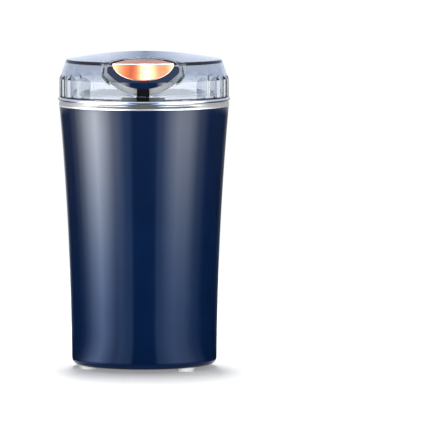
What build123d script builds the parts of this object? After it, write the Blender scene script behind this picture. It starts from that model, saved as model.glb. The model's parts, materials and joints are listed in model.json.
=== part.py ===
from build123d import *
import math
import os

# Electric blade coffee grinder, in millimetres.
# +Z is up, the front with the push button faces -Y, and the origin lies on the floor under the axis.

# Shared clearances
overrun = 2.0           # how far every cutting solid passes the face it cuts
fit_gap = 0.05          # round fits of fixed pieces, screws in their holes
running_gap = 0.08      # shafts and pins that turn or slide
clear_gap = 0.3         # pieces that stay apart
slide_gap = 0.4         # button pieces beside their recess

# Base cover and feet
foot_height = 2.3
foot_r = 5.0
foot_inset = 1.0        # depth of the seat in the base cover
foot_round = 0.6
foot_edge = 0.2         # from the foot to the edge of the flat underside
foot_angles = {"foot_right": -44, "foot_left": -164, "foot_rear": 76}
base_height = 3.6
base_floor = 2.4
base_draw = 2.8         # how far the base draws in below the seam
base_step = 0.1         # shadow line at the seam
spigot_height = 3.1
spigot_wall = 2.2
vent_count = 7
vent_width = 2.4
vent_pitch = 5.4
vent_field_r = 21.0

# Body shell
shell_height = 143.7
shell_bottom_r = 41.3
shell_middle_r = 43.35
shell_top_r = 48.3
shell_middle_share = 0.495
shell_wall = 2.2
post_r = 3.6
post_room = 2.0         # between a post and the wall
post_angles = [16, 136, 256]
post_hole_depth = 14.0
web_width = 2.4

# Fasteners
screw_shank_r = 1.2
screw_head_r = 2.6
screw_head_height = 1.6
screw_slot_width = 0.7
screw_slot_depth = 0.6
screw_pass_r = 1.6
base_screw_length = 15.0
base_screw_sink = 0.4
carrier_screw_length = 16.0
bowl_screw_length = 7.0
bowl_screw_circle_r = 14.0
bowl_screw_angles = [30, 150, 270]
small_shank_r = 0.8
small_head_r = 1.5
small_head_height = 0.8

# Cord gland
gland_height = 10.0     # axis above the seam
gland_bore_r = 3.3
gland_r = 5.0
gland_flange_r = 6.4
gland_flange = 1.5
gland_lock_r = 5.8
gland_lock = 1.2
gland_depth = 3.0       # how far the bush reaches inside the wall

# Trim ring
ring_height = 5.2
ring_band_step = 0.15   # band outside the shell
ring_band_height = 2.3
ring_groove_height = 0.8
ring_groove_depth = 0.45
ring_bead_step = 0.55   # bead outside the band
ring_plate = 2.8
skirt_depth = 5.6
skirt_wall = 2.1
collar_height = 1.8
collar_play = 0.5       # inside the lid
collar_bowl_gap = 0.9   # outside the bowl
collar_notch_wall = 0.7

# Grinding bowl
bowl_inset = 11.8       # from the shell's mouth to the bowl's inside
bowl_draft = 3.3        # how far the bowl narrows
bowl_lip = 3.5          # width of the hanging flange
bowl_corner_r = 10.0
bowl_depth = 45.4
bowl_wall = 0.8
seal_height = 0.6
seal_step = 0.2
seal_width = 2.0
bush_flange_r = 7.0
bush_flange = 2.0
bush_r = 5.0
bush_depth = 4.0

# Lid
lid_gap = 0.1
lid_step = 0.1          # lid inside the shell's mouth radius
lid_slope = 3.9         # how far the cone draws in
lid_wall_height = 10.3
lid_cone_height = 11.0
lid_crown = 4.5
lid_wall = 2.2
lid_edge_round = 0.7
flute_count = 28
flute_depth = 0.8
flute_free_half_angle = 27.0

# Recess in the lid for the button
recess_half = 23.0
recess_arc_r = 27.5
recess_bottom = 3.2     # above the lid's lower edge
recess_roof = 1.8       # roof below the rim
recess_corner_r = 3.4
recess_wall = 1.6
recess_lip = 0.5        # raised edge round the opening
recess_ledge = 10.3     # height of the deep part's floor above the lid's lower edge
recess_step = 4.8       # depth of the shallow part of the recess
recess_plan_r = 27.0
recess_plan_out = 7.3   # centre of the plan arc in front of the lid's wall
key_notch_play = 0.4
key_notch_height = 2.1
cap_plan_r = 22.5
cap_plan_out = 6.2

# Spring well of the button
well_r = 3.8
well_wall = 1.5
well_floor = 1.5
well_depth = 5.2
well_back = 0.7         # from the well to the back of the recess
stem_r = 1.9
button_washer_lip = 1.0

# Button
button_travel = 3.0
carrier_half = 20.3
carrier_corner_r = 1.5
carrier_play = 0.6      # in front of the set-back wall
carrier_stop_gap = 0.5  # left under the carrier at the end of its travel
carrier_core = 14.3     # underside of the deep part above the lid's lower edge
carrier_set_back = 0.9
cap_half = 17.7
cap_drop = 10.1         # height of the half-moon
cap_set_back = 0.4
cap_shell = 1.8
cap_fit = 0.15
cap_round = 0.5
ridge_count = 7
ridge_pitch = 1.5
ridge_width = 0.7
ridge_length = 3.4
rod_half = 3.5
rod_play = 0.5          # in front of the set-back wall
rod_depth = 3.3
rod_bottom = 2.4        # above the lid's lower edge
tenon_half = 2.6
tenon_depth = 1.6
tenon_height = 1.3
button_screw_length = 6.0

# Key guide and switch plunger
key_half = 11.6
key_height = 1.9
key_inset = 0.4         # behind the lid's outer face
key_back_play = 0.2
plunger_inset = 0.2     # smaller than the push rod on each side
plunger_depth = 3.1
plunger_foot_play = 0.7
plunger_foot_lap = 0.1
plunger_foot = 2.4
plunger_stem_r = 1.4
plunger_stem_out = 4.3  # outside the bowl's wall
plunger_stem_length = 15.4
plunger_block = 3.3     # height of the wide key head
press_gap = 0.4         # between push rod and plunger at rest

# Switch bracket, microswitch and lever
bracket_half = 12.0
bracket_out = 0.3       # face outside the bowl's wall at its mouth
bracket_flange_width = 3.4
bracket_screw_out = 2.0
bracket_plate = 1.2
bracket_flange = 2.0
bracket_screw_x = 9.6
bracket_screw_length = 5.0
guide_half = 6.0
guide_lip = 1.8
guide_height = 5.0
switch_half = 9.4
switch_height = 10.0
switch_depth = 4.4
switch_screw_x = 4.8
switch_screw_length = 5.4
switch_tab_x = 6.0
switch_tab_width = 2.4
switch_tab_length = 4.0
switch_tab = 0.8
switch_button_r = 1.0
switch_button_height = 0.3
switch_button_x = -2.0
lever_pivot_x = -8.4
lever_pivot_height = 1.1
lever_pin_r = 0.5
lever_ear_r = 1.0
lever_ear = 0.8
lever_length = 15.5
lever_width = 2.0
lever_thickness = 0.5
lever_rest_deg = 20.0
lever_tip_gap = 0.5     # between plunger stem and lever at rest

# Motor carrier and dampers
carrier_plate = 4.0
carrier_boss_r = 19.0
carrier_boss_height = 6.2
carrier_bore_r = 8.8
damper_r = 3.4
damper_height = 1.4
window_r = 5.5
window_inset = 0.5      # of the windows' circle inside the posts' circle
window_angles = [76, 196, 316]

# Motor
shaft_r = 3.0
stator_r = 27.0
stator_yoke_in_r = 21.8
stator_bore_r = 15.5
stator_height = 24.0
pole_half_angle = 50
armature_r = 14.9
armature_slots = 12
armature_slot_width = 2.4
armature_slot_in_r = 9.5
winding_gap = 0.2
winding_r = 13.4
winding_in_r = 4.5
winding_height = 5.8
winding_bar_out_r = 13.0
coil_in_r = 16.4
coil_out_r = 21.4
coil_half_angle = 86
coil_slot_gap_angle = 2
coil_overhang = 6.0
coil_end_gap = 0.6
bracket_bar_half = 12.0
bracket_bar_height = 4.0
column_half = 5.0
column_in_r = 22.3
upper_column = 9.0
lower_column = 24.0
tie_circle_r = 24.5
tie_shank_r = 1.5
tie_head_r = 2.4
tie_head_height = 1.6
tie_grip = 3.0          # thread in the motor carrier
bearing_r = 6.0
bearing_length = 8.0
bearing_boss_wall = 2.4
upper_boss = 5.0
lower_boss_drop = 3.0
lower_boss_rise = 2.0
commutator_r = 9.0
commutator_length = 10.0
commutator_bars = 12
commutator_groove = 0.5
commutator_drop = 8.0   # below the stator
air_window_r = 5.0
air_window_circle_r = 18.0
holder_half = 3.8
holder_wall = 1.2
holder_near_x = 10.6
holder_length = 16.0
pedestal_near_x = 14.0
brush_near_gap = 0.4
brush_length = 9.0
brush_play = 0.1
fan_hub_r = 6.0
fan_r = 24.0
fan_disc = 1.4
fan_height = 8.0
fan_drop = 2.0          # below the lower bracket's boss
fan_blades = 11
fan_blade_width = 1.2
fan_eye_r = 9.0
shaft_tail = 2.0

# Blade and its fastening
blade_collar_r = 4.5
blade_collar_gap = 0.4
blade_rise = 3.0        # blade above the bush flange
blade_thickness = 1.6
blade_hub_r = 7.0
blade_root_half = 5.0
blade_tip_half = 3.2
blade_flat = 14.0
blade_r = 29.0
blade_tip_deg = 14.0
washer_r = 5.5
washer_height = 0.8
nut_across = 9.0
nut_height = 4.0
shaft_tip = 1.2

# Electrical pieces
terminal_half = 8.0
terminal_near_y = 23.5
terminal_depth = 8.5
terminal_height = 7.0
terminal_hole_r = 1.6
terminal_hole_depth = 3.0
terminal_pitch = 5.0
capacitor_angle = 316
capacitor_half = 8.5
capacitor_gap = 3.6     # outside the stator
capacitor_depth = 6.6
capacitor_height = 13.0
capacitor_round = 1.0
shelf_low = 47.0        # above the seam
shelf_thickness = 2.0
cutout_r = 2.3
cutout_height = 4.0
cutout_angle = 60
lead_r = 0.9

# Springs
button_wire_r = 0.3
button_spring_r = 2.9
button_turns = 6
plunger_wire_r = 0.22
plunger_spring_r = 1.95
plunger_turns = 8
brush_wire_r = 0.22
brush_spring_r = 1.8
brush_turns = 6

# Radii and front distances that follow, f being the distance from the axis towards the front
base_bottom_r = shell_bottom_r - base_draw
base_top_r = shell_bottom_r - base_step
foot_circle_r = base_bottom_r - foot_edge - foot_r
post_circle_r = shell_bottom_r - shell_wall - post_room - post_r
window_circle_r = post_circle_r - window_inset
capacitor_near_r = stator_r + capacitor_gap
ring_band_r = shell_top_r + ring_band_step
ring_groove_r = ring_band_r - ring_groove_depth
ring_bead_r = ring_band_r + ring_bead_step
bowl_top_r = shell_top_r - bowl_inset
bowl_low_r = bowl_top_r - bowl_draft
bowl_flange_r = bowl_top_r + bowl_wall + bowl_lip
collar_in_r = bowl_top_r + bowl_wall + collar_bowl_gap
seal_in_r = collar_in_r + seal_step
seal_out_r = seal_in_r + seal_width
rebate_r = seal_out_r + clear_gap
collar_notch_r = rebate_r + collar_notch_wall
lid_r = shell_top_r - lid_step
lid_rim_r = lid_r - lid_slope
collar_r = lid_r - lid_wall - collar_play
recess_back_r = lid_r - recess_step
recess_plan_f = lid_r + recess_plan_out
cap_plan_f = lid_r + cap_plan_out
well_f = recess_plan_f - recess_plan_r + well_back + well_r
carrier_back_r = recess_back_r + carrier_play
rod_back_f = recess_back_r + rod_play
rod_front_f = rod_back_f + rod_depth
rod_slot_half = rod_half + slide_gap
tenon_f = (rod_back_f + rod_front_f) / 2
key_front_r = lid_r - key_inset
key_back_f = recess_back_r - recess_wall + key_back_play
key_slot_f = rod_back_f - clear_gap
key_slot_half = rod_half + plunger_inset
key_notch_half = key_half + key_notch_play
collar_notch_half = key_notch_half + plunger_inset
plunger_half = rod_half - plunger_inset
plunger_back_f = rod_back_f
plunger_front_f = plunger_back_f + plunger_depth
plunger_foot_front_f = shell_top_r - shell_wall - plunger_foot_play
plunger_stem_f = bowl_top_r + bowl_wall + plunger_stem_out
plunger_foot_back_f = plunger_stem_f - plunger_stem_r - plunger_foot_lap
bracket_face_f = bowl_top_r + bowl_wall + bracket_out
bracket_flange_f = bracket_face_f + bracket_flange_width
bracket_screw_f = bracket_face_f + bracket_screw_out
guide_front_f = plunger_stem_f + guide_lip

# Heights that follow from the stack
base_z = foot_height
seam_z = base_z + base_height
floor_z = base_z + base_floor
spigot_top = seam_z + spigot_height
shell_top = seam_z + shell_height
ring_top = shell_top + ring_height
collar_top = ring_top + collar_height
bowl_rim_top = collar_top + bowl_wall
bowl_floor_z = bowl_rim_top - bowl_depth
carrier_top_boss = bowl_floor_z - bowl_wall
carrier_high = carrier_top_boss - carrier_boss_height
carrier_low = carrier_high - carrier_plate
post_high = carrier_low - damper_height
stator_high = carrier_low - bracket_bar_height - upper_column
stator_low = stator_high - stator_height
lower_plate_high = stator_low - lower_column
lower_plate_low = lower_plate_high - bracket_bar_height
commutator_high = stator_low - commutator_drop
commutator_low = commutator_high - commutator_length
brush_z = (commutator_high + commutator_low) / 2
fan_high = lower_plate_low - lower_boss_drop - fan_drop
fan_low = fan_high - fan_height
bush_top = bowl_floor_z + bush_flange
blade_low = bush_top + blade_rise
blade_high = blade_low + blade_thickness
washer_high = blade_high + washer_height
nut_high = washer_high + nut_height
lid_bottom = ring_top + lid_gap
lid_cone_z = lid_bottom + lid_wall_height
lid_rim_z = lid_cone_z + lid_cone_height
lid_apex_z = lid_rim_z + lid_crown
recess_low = lid_bottom + recess_bottom
carrier_bottom = recess_bottom + button_travel + carrier_stop_gap
recess_high = lid_rim_z - recess_roof
ledge_z = lid_bottom + recess_ledge
core_z = lid_bottom + carrier_core
rod_low = lid_bottom + rod_bottom
plunger_top = rod_low - press_gap
key_top = ring_top + key_height


# Shared shapes

def rod(radius, low, high, x=0, y=0):
    """Solid round bar along Z."""
    return Pos(x, y, low) * Cylinder(radius, high - low, align=(Align.CENTER, Align.CENTER, Align.MIN))


def tube(outer, inner, low, high, x=0, y=0):
    """Round bar along Z with a through bore."""
    return rod(outer, low, high, x, y) - rod(inner, low - overrun, high + overrun, x, y)


def block(x_low, x_high, y_low, y_high, z_low, z_high):
    """Box between two corners."""
    size = (x_high - x_low, y_high - y_low, z_high - z_low)
    return Pos(x_low, y_low, z_low) * Box(*size, align=(Align.MIN, Align.MIN, Align.MIN))


def front_block(half, f_low, f_high, z_low, z_high):
    """Box centred on the front, f being the distance from the axis towards -Y."""
    return block(-half, half, -f_high, -f_low, z_low, z_high)


def turned(*edges):
    """Solid of revolution about Z from edges drawn as (radius, height)."""
    return revolve(Plane.XZ * make_face(edges), Axis.Z)


def sector(r_in, r_out, start_deg, end_deg, low, high):
    """Part of a thick ring between two angles."""
    outline = Polyline((r_in, low), (r_out, low), (r_out, high), (r_in, high), close=True)
    body = revolve(Plane.XZ * make_face(outline), Axis.Z, end_deg - start_deg)
    return Rot(0, 0, start_deg) * body


def on_circle(radius, degrees):
    """Plan position on a circle about the axis."""
    return radius * math.cos(math.radians(degrees)), radius * math.sin(math.radians(degrees))


def along_front(radius, f_low, f_high, x, z):
    """Round bar along Y between two front distances."""
    bar = Cylinder(radius, f_high - f_low, align=(Align.CENTER, Align.CENTER, Align.MIN))
    return Pos(x, -f_low, z) * Rot(90, 0, 0) * bar


def screw(length, shank_r, head_r, head_height):
    """Pan-head screw pointing up, its head's seat at height zero."""
    body = rod(shank_r, 0, length) + rod(head_r, -head_height, 0)
    slot_low = -head_height - overrun
    slot_high = screw_slot_depth - head_height
    half = screw_slot_width / 2
    body -= block(-head_r, head_r, -half, half, slot_low, slot_high)
    body -= block(-half, half, -head_r, head_r, slot_low, slot_high)
    return body


def turned_over(body):
    """The same piece pointing down."""
    return Rot(180, 0, 0) * body


def group(pieces):
    """Separate solids kept in one node."""
    return Compound(children=[piece.solid() for piece in pieces])


def spring(mean_r, wire_r, turns, low, high, name):
    """Compression spring along Z, swept on half turns, each of two tangent arcs."""
    first = low + wire_r
    pitch = (high - low - wire_r - wire_r) / turns
    quarter = math.pi / 2
    count = 4 * turns
    helix = [Vector(mean_r * math.cos(step * quarter), mean_r * math.sin(step * quarter),
                    first + pitch * step / 4) for step in range(count + 1)]
    lift = pitch / (2 * math.pi * mean_r)
    edges = []
    for step in range(count):
        angle = step * quarter
        heading = Vector(-math.sin(angle), math.cos(angle), lift)
        start_heading = heading if step == 0 else edges[-1] % 1
        edges.append(TangentArc(helix[step], helix[step + 1], tangent=start_heading))
    path = Wire(edges)
    section = Plane(origin=path @ 0, z_dir=path % 0) * Circle(wire_r)
    print(f"{name}: least gap between turns {pitch - wire_r - wire_r:.2f} mm")
    return sweep(section, path=path)


# Outline of the body shell, a parabola through three radii

shell_swell_r = (shell_middle_r - (1 - shell_middle_share) ** 2 * shell_bottom_r
                 - shell_middle_share ** 2 * shell_top_r) / (2 * shell_middle_share * (1 - shell_middle_share))


def shell_radius(z):
    """Outer radius of the body shell at a height."""
    t = (z - seam_z) / shell_height
    return (1 - t) ** 2 * shell_bottom_r + 2 * t * (1 - t) * shell_swell_r + t ** 2 * shell_top_r


def shell_inside(z):
    """Inner radius of the body shell at a height."""
    return shell_radius(z) - shell_wall


def shell_bulk(inset):
    """The shell's outer form, filled, drawn in by an inset."""
    foot = (shell_bottom_r - inset, seam_z)
    swell = (shell_swell_r - inset, seam_z + shell_height / 2)
    mouth = (shell_top_r - inset, shell_top)
    return turned(
        Line((0, seam_z), foot),
        Bezier(foot, swell, mouth),
        Polyline(mouth, (0, shell_top), (0, seam_z)),
    )


# Housing pieces

def make_body_shell():
    bulk = shell_bulk(shell_wall / 2)
    shell = shell_bulk(0) - shell_bulk(shell_wall)
    far = shell_top_r
    half = web_width / 2
    for angle in post_angles:
        x, y = on_circle(post_circle_r, angle)
        web = Rot(0, 0, angle) * block(post_circle_r, far, -half, half, spigot_top, post_high)
        shell += (web + rod(post_r, spigot_top, post_high, x, y)) & bulk
    shelf_z = seam_z + shelf_low
    shelf = block(capacitor_near_r, far, -capacitor_half, capacitor_half, shelf_z, shelf_z + shelf_thickness)
    shell += (Rot(0, 0, capacitor_angle) * shelf) & bulk
    for angle in post_angles:
        x, y = on_circle(post_circle_r, angle)
        hole_r = screw_shank_r + fit_gap
        shell -= rod(hole_r, spigot_top - overrun, spigot_top + post_hole_depth, x, y)
        shell -= rod(hole_r, post_high - post_hole_depth, post_high + overrun, x, y)
    notch_half = gland_r + fit_gap
    notch_top = seam_z + gland_height + notch_half
    return shell - block(-notch_half, notch_half, gland_r, far, seam_z - overrun, notch_top)


def make_base_cover():
    spigot_r = shell_inside(seam_z) - fit_gap
    turn_share = 0.7
    bend = (base_bottom_r + turn_share * (base_top_r - base_bottom_r),
            seam_z - turn_share * base_height)
    cover = turned(
        Line((0, base_z), (base_bottom_r, base_z)),
        ThreePointArc((base_bottom_r, base_z), bend, (base_top_r, seam_z)),
        Polyline((base_top_r, seam_z), (spigot_r, seam_z), (spigot_r, spigot_top),
                 (spigot_r - spigot_wall, spigot_top), (spigot_r - spigot_wall, floor_z), (0, floor_z)),
        Line((0, floor_z), (0, base_z)),
    )
    for angle in post_angles:
        x, y = on_circle(post_circle_r, angle)
        cover += rod(post_r, floor_z, spigot_top, x, y)
    for angle in post_angles:
        x, y = on_circle(post_circle_r, angle)
        cover -= rod(screw_pass_r, base_z - overrun, spigot_top + overrun, x, y)
        sink = base_z + base_screw_sink + screw_head_height
        cover -= rod(screw_head_r + clear_gap, base_z - overrun, sink, x, y)
    for angle in foot_angles.values():
        x, y = on_circle(foot_circle_r, angle)
        cover -= rod(foot_r + fit_gap, base_z - overrun, base_z + foot_inset, x, y)
    half = vent_width / 2
    for index in range(vent_count):
        x = (index - (vent_count - 1) / 2) * vent_pitch
        reach = math.sqrt(vent_field_r ** 2 - x ** 2)
        cover -= block(x - half, x + half, -reach, reach, base_z - overrun, floor_z + overrun)
    return cover


def make_foot(angle):
    x, y = on_circle(foot_circle_r, angle)
    foot = rod(foot_r, 0, base_z + foot_inset, x, y)
    return fillet(foot.edges().sort_by(Axis.Z)[0], foot_round)


def make_base_screws():
    seat = base_z + base_screw_sink + screw_head_height
    body = screw(base_screw_length, screw_shank_r, screw_head_r, screw_head_height)
    return group([Pos(*on_circle(post_circle_r, angle), seat) * body for angle in post_angles])


def make_cord_gland():
    z = seam_z + gland_height
    wall_out = shell_radius(z + gland_flange_r) + fit_gap
    wall_in = math.sqrt(shell_inside(z) ** 2 - gland_lock_r ** 2) - clear_gap
    inner_end = wall_in - gland_depth
    gland = along_front(gland_r, -wall_out - gland_flange, -inner_end, 0, z)
    gland += along_front(gland_flange_r, -wall_out - gland_flange, -wall_out, 0, z)
    gland += along_front(gland_lock_r, -wall_in, gland_lock - wall_in, 0, z)
    tongue = block(-gland_r, gland_r, gland_r, shell_top_r, seam_z + fit_gap, z + gland_r)
    gland += tongue & (shell_bulk(0) - shell_bulk(shell_wall))
    return gland - along_front(gland_bore_r, -wall_out - gland_flange - overrun, overrun - inner_end, 0, z)


def make_top_ring():
    skirt_low = shell_top - skirt_depth
    skirt_r = shell_inside(skirt_low) - fit_gap
    groove_low = shell_top + ring_band_height
    groove_high = groove_low + ring_groove_height
    bead_mid_z = (groove_high + ring_top) / 2
    bead_in_r = ring_bead_r - (ring_top - groove_high) / 2
    plate_low = ring_top - ring_plate
    seal_z = collar_top - seal_height
    ring = turned(
        Polyline((skirt_r - skirt_wall, plate_low), (skirt_r - skirt_wall, skirt_low), (skirt_r, skirt_low),
                 (skirt_r, shell_top), (ring_band_r, shell_top), (ring_band_r, groove_low),
                 (ring_groove_r, groove_low), (ring_groove_r, groove_high), (bead_in_r, groove_high)),
        ThreePointArc((bead_in_r, groove_high), (ring_bead_r, bead_mid_z), (bead_in_r, ring_top)),
        Polyline((bead_in_r, ring_top), (collar_r, ring_top), (collar_r, collar_top), (rebate_r, collar_top),
                 (rebate_r, seal_z), (collar_in_r, seal_z), (collar_in_r, plate_low),
                 (skirt_r - skirt_wall, plate_low)),
    )
    foot_top = plunger_top - plunger_block + clear_gap
    slot_half = plunger_half + clear_gap
    notch = front_block(collar_notch_half, 0, ring_bead_r, ring_top, collar_top + overrun)
    ring -= notch - rod(collar_notch_r, ring_top, collar_top + overrun)
    ring -= front_block(slot_half, collar_notch_r, plunger_front_f + clear_gap, skirt_low - overrun,
                        ring_top + overrun)
    ring -= front_block(slot_half, plunger_foot_back_f - clear_gap, collar_notch_r + fit_gap,
                        skirt_low - overrun, foot_top + clear_gap)
    return ring


def make_bowl_seal():
    return tube(seal_out_r, seal_in_r, collar_top - seal_height, collar_top)


def bowl_side(thickness):
    """Edges of the bowl's tapered side and round corner, from the rim's height to the floor."""
    centre_r, centre_z = bowl_low_r - bowl_corner_r, bowl_floor_z + bowl_corner_r
    radius = bowl_corner_r + thickness
    diagonal = radius / math.sqrt(2)
    knee = (centre_r + radius, centre_z)
    rim = (bowl_top_r + thickness, bowl_rim_top if thickness == 0 else collar_top)
    toe = (centre_r, bowl_floor_z - thickness)
    return rim, toe, [Line(rim, knee), ThreePointArc(knee, (centre_r + diagonal, centre_z - diagonal), toe)]


def make_grinding_bowl():
    inner_rim, inner_toe, inner_edges = bowl_side(0)
    outer_rim, outer_toe, outer_edges = bowl_side(bowl_wall)
    bowl = turned(
        Polyline(outer_rim, (bowl_flange_r, collar_top), (bowl_flange_r, bowl_rim_top), inner_rim),
        *inner_edges,
        Polyline(inner_toe, (0, bowl_floor_z), (0, bowl_floor_z - bowl_wall), outer_toe),
        *outer_edges,
    )
    bowl -= rod(bush_r + fit_gap, bowl_floor_z - overrun, bowl_floor_z + overrun)
    for angle in bowl_screw_angles:
        x, y = on_circle(bowl_screw_circle_r, angle)
        bowl -= rod(screw_pass_r, bowl_floor_z - overrun, bowl_floor_z + overrun, x, y)
    return bowl


def make_bowl_bush():
    bush = rod(bush_r, bowl_floor_z - bush_depth, bowl_floor_z) + rod(bush_flange_r, bowl_floor_z, bush_top)
    return bush - rod(shaft_r + running_gap, bowl_floor_z - bush_depth - overrun, bush_top + overrun)


def make_bowl_screws():
    body = turned_over(screw(bowl_screw_length, screw_shank_r, screw_head_r, screw_head_height))
    places = [on_circle(bowl_screw_circle_r, angle) for angle in bowl_screw_angles]
    return group([Pos(x, y, bowl_floor_z) * body for x, y in places])


# Lid and button outlines

lid_taper = (lid_r - lid_rim_r) / lid_cone_height
well_low = ledge_z - well_depth - well_floor
well_seat = ledge_z - well_depth
cap_inside = cap_set_back + cap_shell + cap_fit
far_front = lid_r + overrun


def lid_bulk(inset, low, rounding=0):
    """The lid's outer form, filled, drawn in by an inset and with its rim rounded."""
    rim_r = lid_rim_r - inset + lid_taper * inset
    rim = (rim_r, lid_rim_z - inset)
    apex_z = lid_apex_z - inset
    crown_r = (rim_r ** 2 + lid_crown ** 2) / (2 * lid_crown)
    middle = (rim_r / 2, apex_z - crown_r + math.sqrt(crown_r ** 2 - rim_r ** 2 / 4))
    profile = make_face([
        Polyline((0, apex_z), (0, low), (lid_r - inset, low), (lid_r - inset, lid_cone_z), rim),
        ThreePointArc(rim, middle, (0, apex_z)),
    ])
    if rounding > 0:
        corner = profile.vertices().sort_by_distance((*rim, 0))[0]
        profile = fillet(corner, rounding)
    return revolve(Plane.XZ * profile, Axis.Z)


def front_prism(outline):
    """Outline of the front view, carried from the axis out past the front."""
    return extrude(Plane.XZ * outline, far_front)


def u_outline(half, arc_r, bottom, top):
    """Upright outline with straight sides and a round lower edge."""
    side_z = bottom + arc_r - math.sqrt(arc_r ** 2 - half ** 2)
    return make_face([
        Polyline((half, side_z), (half, top), (-half, top), (-half, side_z)),
        ThreePointArc((-half, side_z), (0, bottom), (half, side_z)),
    ])


def moon_outline(grow):
    """Half-moon of the button's cap, open upwards past the crown."""
    half = cap_half + grow
    rise = lid_apex_z + overrun - lid_rim_z
    upper = Pos(0, lid_rim_z + rise / 2) * Rectangle(half + half, rise)
    return Pos(0, lid_rim_z) * Ellipse(half, cap_drop + grow) + upper


def plan_bar(radius, centre_f, low):
    """Upright bar that bounds the button's pieces in plan."""
    return rod(radius, low, lid_apex_z + overrun, 0, -centre_f)


def recess_space(grow, top):
    """Room of the recess, or with its walls when grown."""
    outline = u_outline(recess_half + grow, recess_arc_r + grow, recess_low - grow, top)
    if grow == 0:
        outline = fillet(outline.vertices().sort_by(Axis.Y)[-2:], recess_corner_r)
    ledge = ledge_z - grow
    deep = plan_bar(recess_plan_r + grow, recess_plan_f, ledge)
    shallow = tube(far_front, recess_back_r - grow, recess_low - grow - overrun, ledge)
    return front_prism(outline) & (deep + shallow)


def make_lid_shell():
    half_pitch = math.pi / flute_count
    chord = lid_r * math.sin(half_pitch)
    sag = flute_depth - lid_r * (1 - math.cos(half_pitch))
    flute_r = (chord ** 2 + sag ** 2) / (2 * sag)
    flute_high = lid_cone_z + flute_depth / lid_taper + overrun
    flutes = []
    for index in range(flute_count):
        offset = (index + 1 / 2) * 360 / flute_count - 180
        if abs(offset) > flute_free_half_angle:
            x, y = on_circle(lid_r - flute_depth + flute_r, offset - 90)
            flutes.append(rod(flute_r, lid_bottom - overrun, flute_high, x, y))
    edge = u_outline(recess_half + recess_wall, recess_arc_r + recess_wall, recess_low - recess_wall,
                     lid_rim_z - lid_edge_round)
    lip = front_prism(edge) & lid_bulk(-recess_lip, lid_bottom)
    lip -= lid_bulk(lid_wall / 2, lid_bottom - overrun)
    outer = lid_bulk(0, lid_bottom, lid_edge_round) - flutes + lip
    walls = recess_space(recess_wall, lid_apex_z) + rod(well_r + well_wall, well_low, ledge_z, 0, -well_f)
    hollow = lid_bulk(lid_wall, lid_bottom - overrun) - walls
    lid = outer - hollow - recess_space(0, recess_high)
    lid -= rod(well_r, well_seat, ledge_z + overrun, 0, -well_f)
    lid -= rod(stem_r + clear_gap, well_low - overrun, well_seat + overrun, 0, -well_f)
    lid -= plan_bar(cap_plan_r + slide_gap, cap_plan_f, recess_high - overrun)
    notch_back = recess_back_r - recess_wall - clear_gap
    lid -= front_block(key_notch_half, notch_back, far_front, lid_bottom - overrun,
                       lid_bottom + key_notch_height)
    return lid - front_block(rod_slot_half, recess_back_r, far_front, lid_bottom - overrun,
                             recess_low + overrun)


def make_button_cap():
    prism = front_prism(moon_outline(0)) & plan_bar(cap_plan_r, cap_plan_f, lid_bottom)
    skin = lid_bulk(cap_set_back, lid_bottom)
    cap = prism & (skin - lid_bulk(cap_set_back + cap_shell, lid_bottom - overrun))
    outer_edges = [edge for edge in cap.edges()
                   if min(face.distance_to(edge @ 0.5) for face in skin.faces()) < fit_gap]
    cap = fillet(outer_edges, cap_round)
    front_f = lid_rim_r - cap_set_back - cap_round
    half = ridge_width / 2
    ridge_limit = lid_bulk(fit_gap, lid_rim_z - cap_shell)
    for index in range(ridge_count):
        x = (index - (ridge_count - 1) / 2) * ridge_pitch
        ridge = block(x - half, x + half, -front_f, ridge_length - front_f, lid_rim_z - cap_shell / 2,
                      lid_apex_z)
        cap += ridge & ridge_limit
    return cap


def make_button_carrier():
    top = recess_high - slide_gap
    outline = u_outline(carrier_half, recess_arc_r, lid_bottom + carrier_bottom, top)
    outline = fillet(outline.vertices().sort_by(Axis.Y)[-2:], carrier_corner_r)
    bulk = front_prism(outline) & lid_bulk(carrier_set_back, lid_bottom)
    core = bulk & plan_bar(recess_plan_r - slide_gap, recess_plan_f, core_z)
    plate = bulk - rod(carrier_back_r, lid_bottom - overrun, lid_apex_z + overrun)
    behind = lid_bulk(cap_inside, lid_bottom)
    crest = front_prism(moon_outline(0)) & plan_bar(cap_plan_r, cap_plan_f, core_z) & behind
    cap_room = front_prism(moon_outline(cap_fit)) & plan_bar(cap_plan_r + cap_fit, cap_plan_f, lid_bottom)
    carrier = core + plate + crest - (cap_room - behind)
    stem_end = well_low - clear_gap
    carrier += rod(stem_r, stem_end, core_z + cap_fit, 0, -well_f)
    carrier -= rod(small_shank_r + fit_gap, stem_end - overrun, stem_end + button_screw_length + clear_gap,
                   0, -well_f)
    half_depth = tenon_depth / 2 + fit_gap
    rod_high = lid_bottom + carrier_bottom
    return carrier - front_block(tenon_half + fit_gap, tenon_f - half_depth, tenon_f + half_depth,
                                 rod_high - overrun, rod_high + tenon_height)


def make_push_rod():
    rod_high = lid_bottom + carrier_bottom
    half_depth = tenon_depth / 2
    post = front_block(rod_half, rod_back_f, rod_front_f, rod_low, rod_high)
    return post + front_block(tenon_half, tenon_f - half_depth, tenon_f + half_depth, rod_high,
                              rod_high + tenon_height)


def make_button_washer():
    stem_end = well_low - clear_gap
    return tube(stem_r + button_washer_lip, small_shank_r + fit_gap, stem_end - washer_height, stem_end,
                0, -well_f)


def make_button_screw():
    seat = well_low - clear_gap - washer_height
    return Pos(0, -well_f, seat) * screw(button_screw_length, small_shank_r, small_head_r, small_head_height)


def make_button_spring():
    return Pos(0, -well_f, 0) * spring(button_spring_r, button_wire_r, button_turns, well_seat, core_z,
                                       "button spring")


# Key guide, plunger and switch

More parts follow.
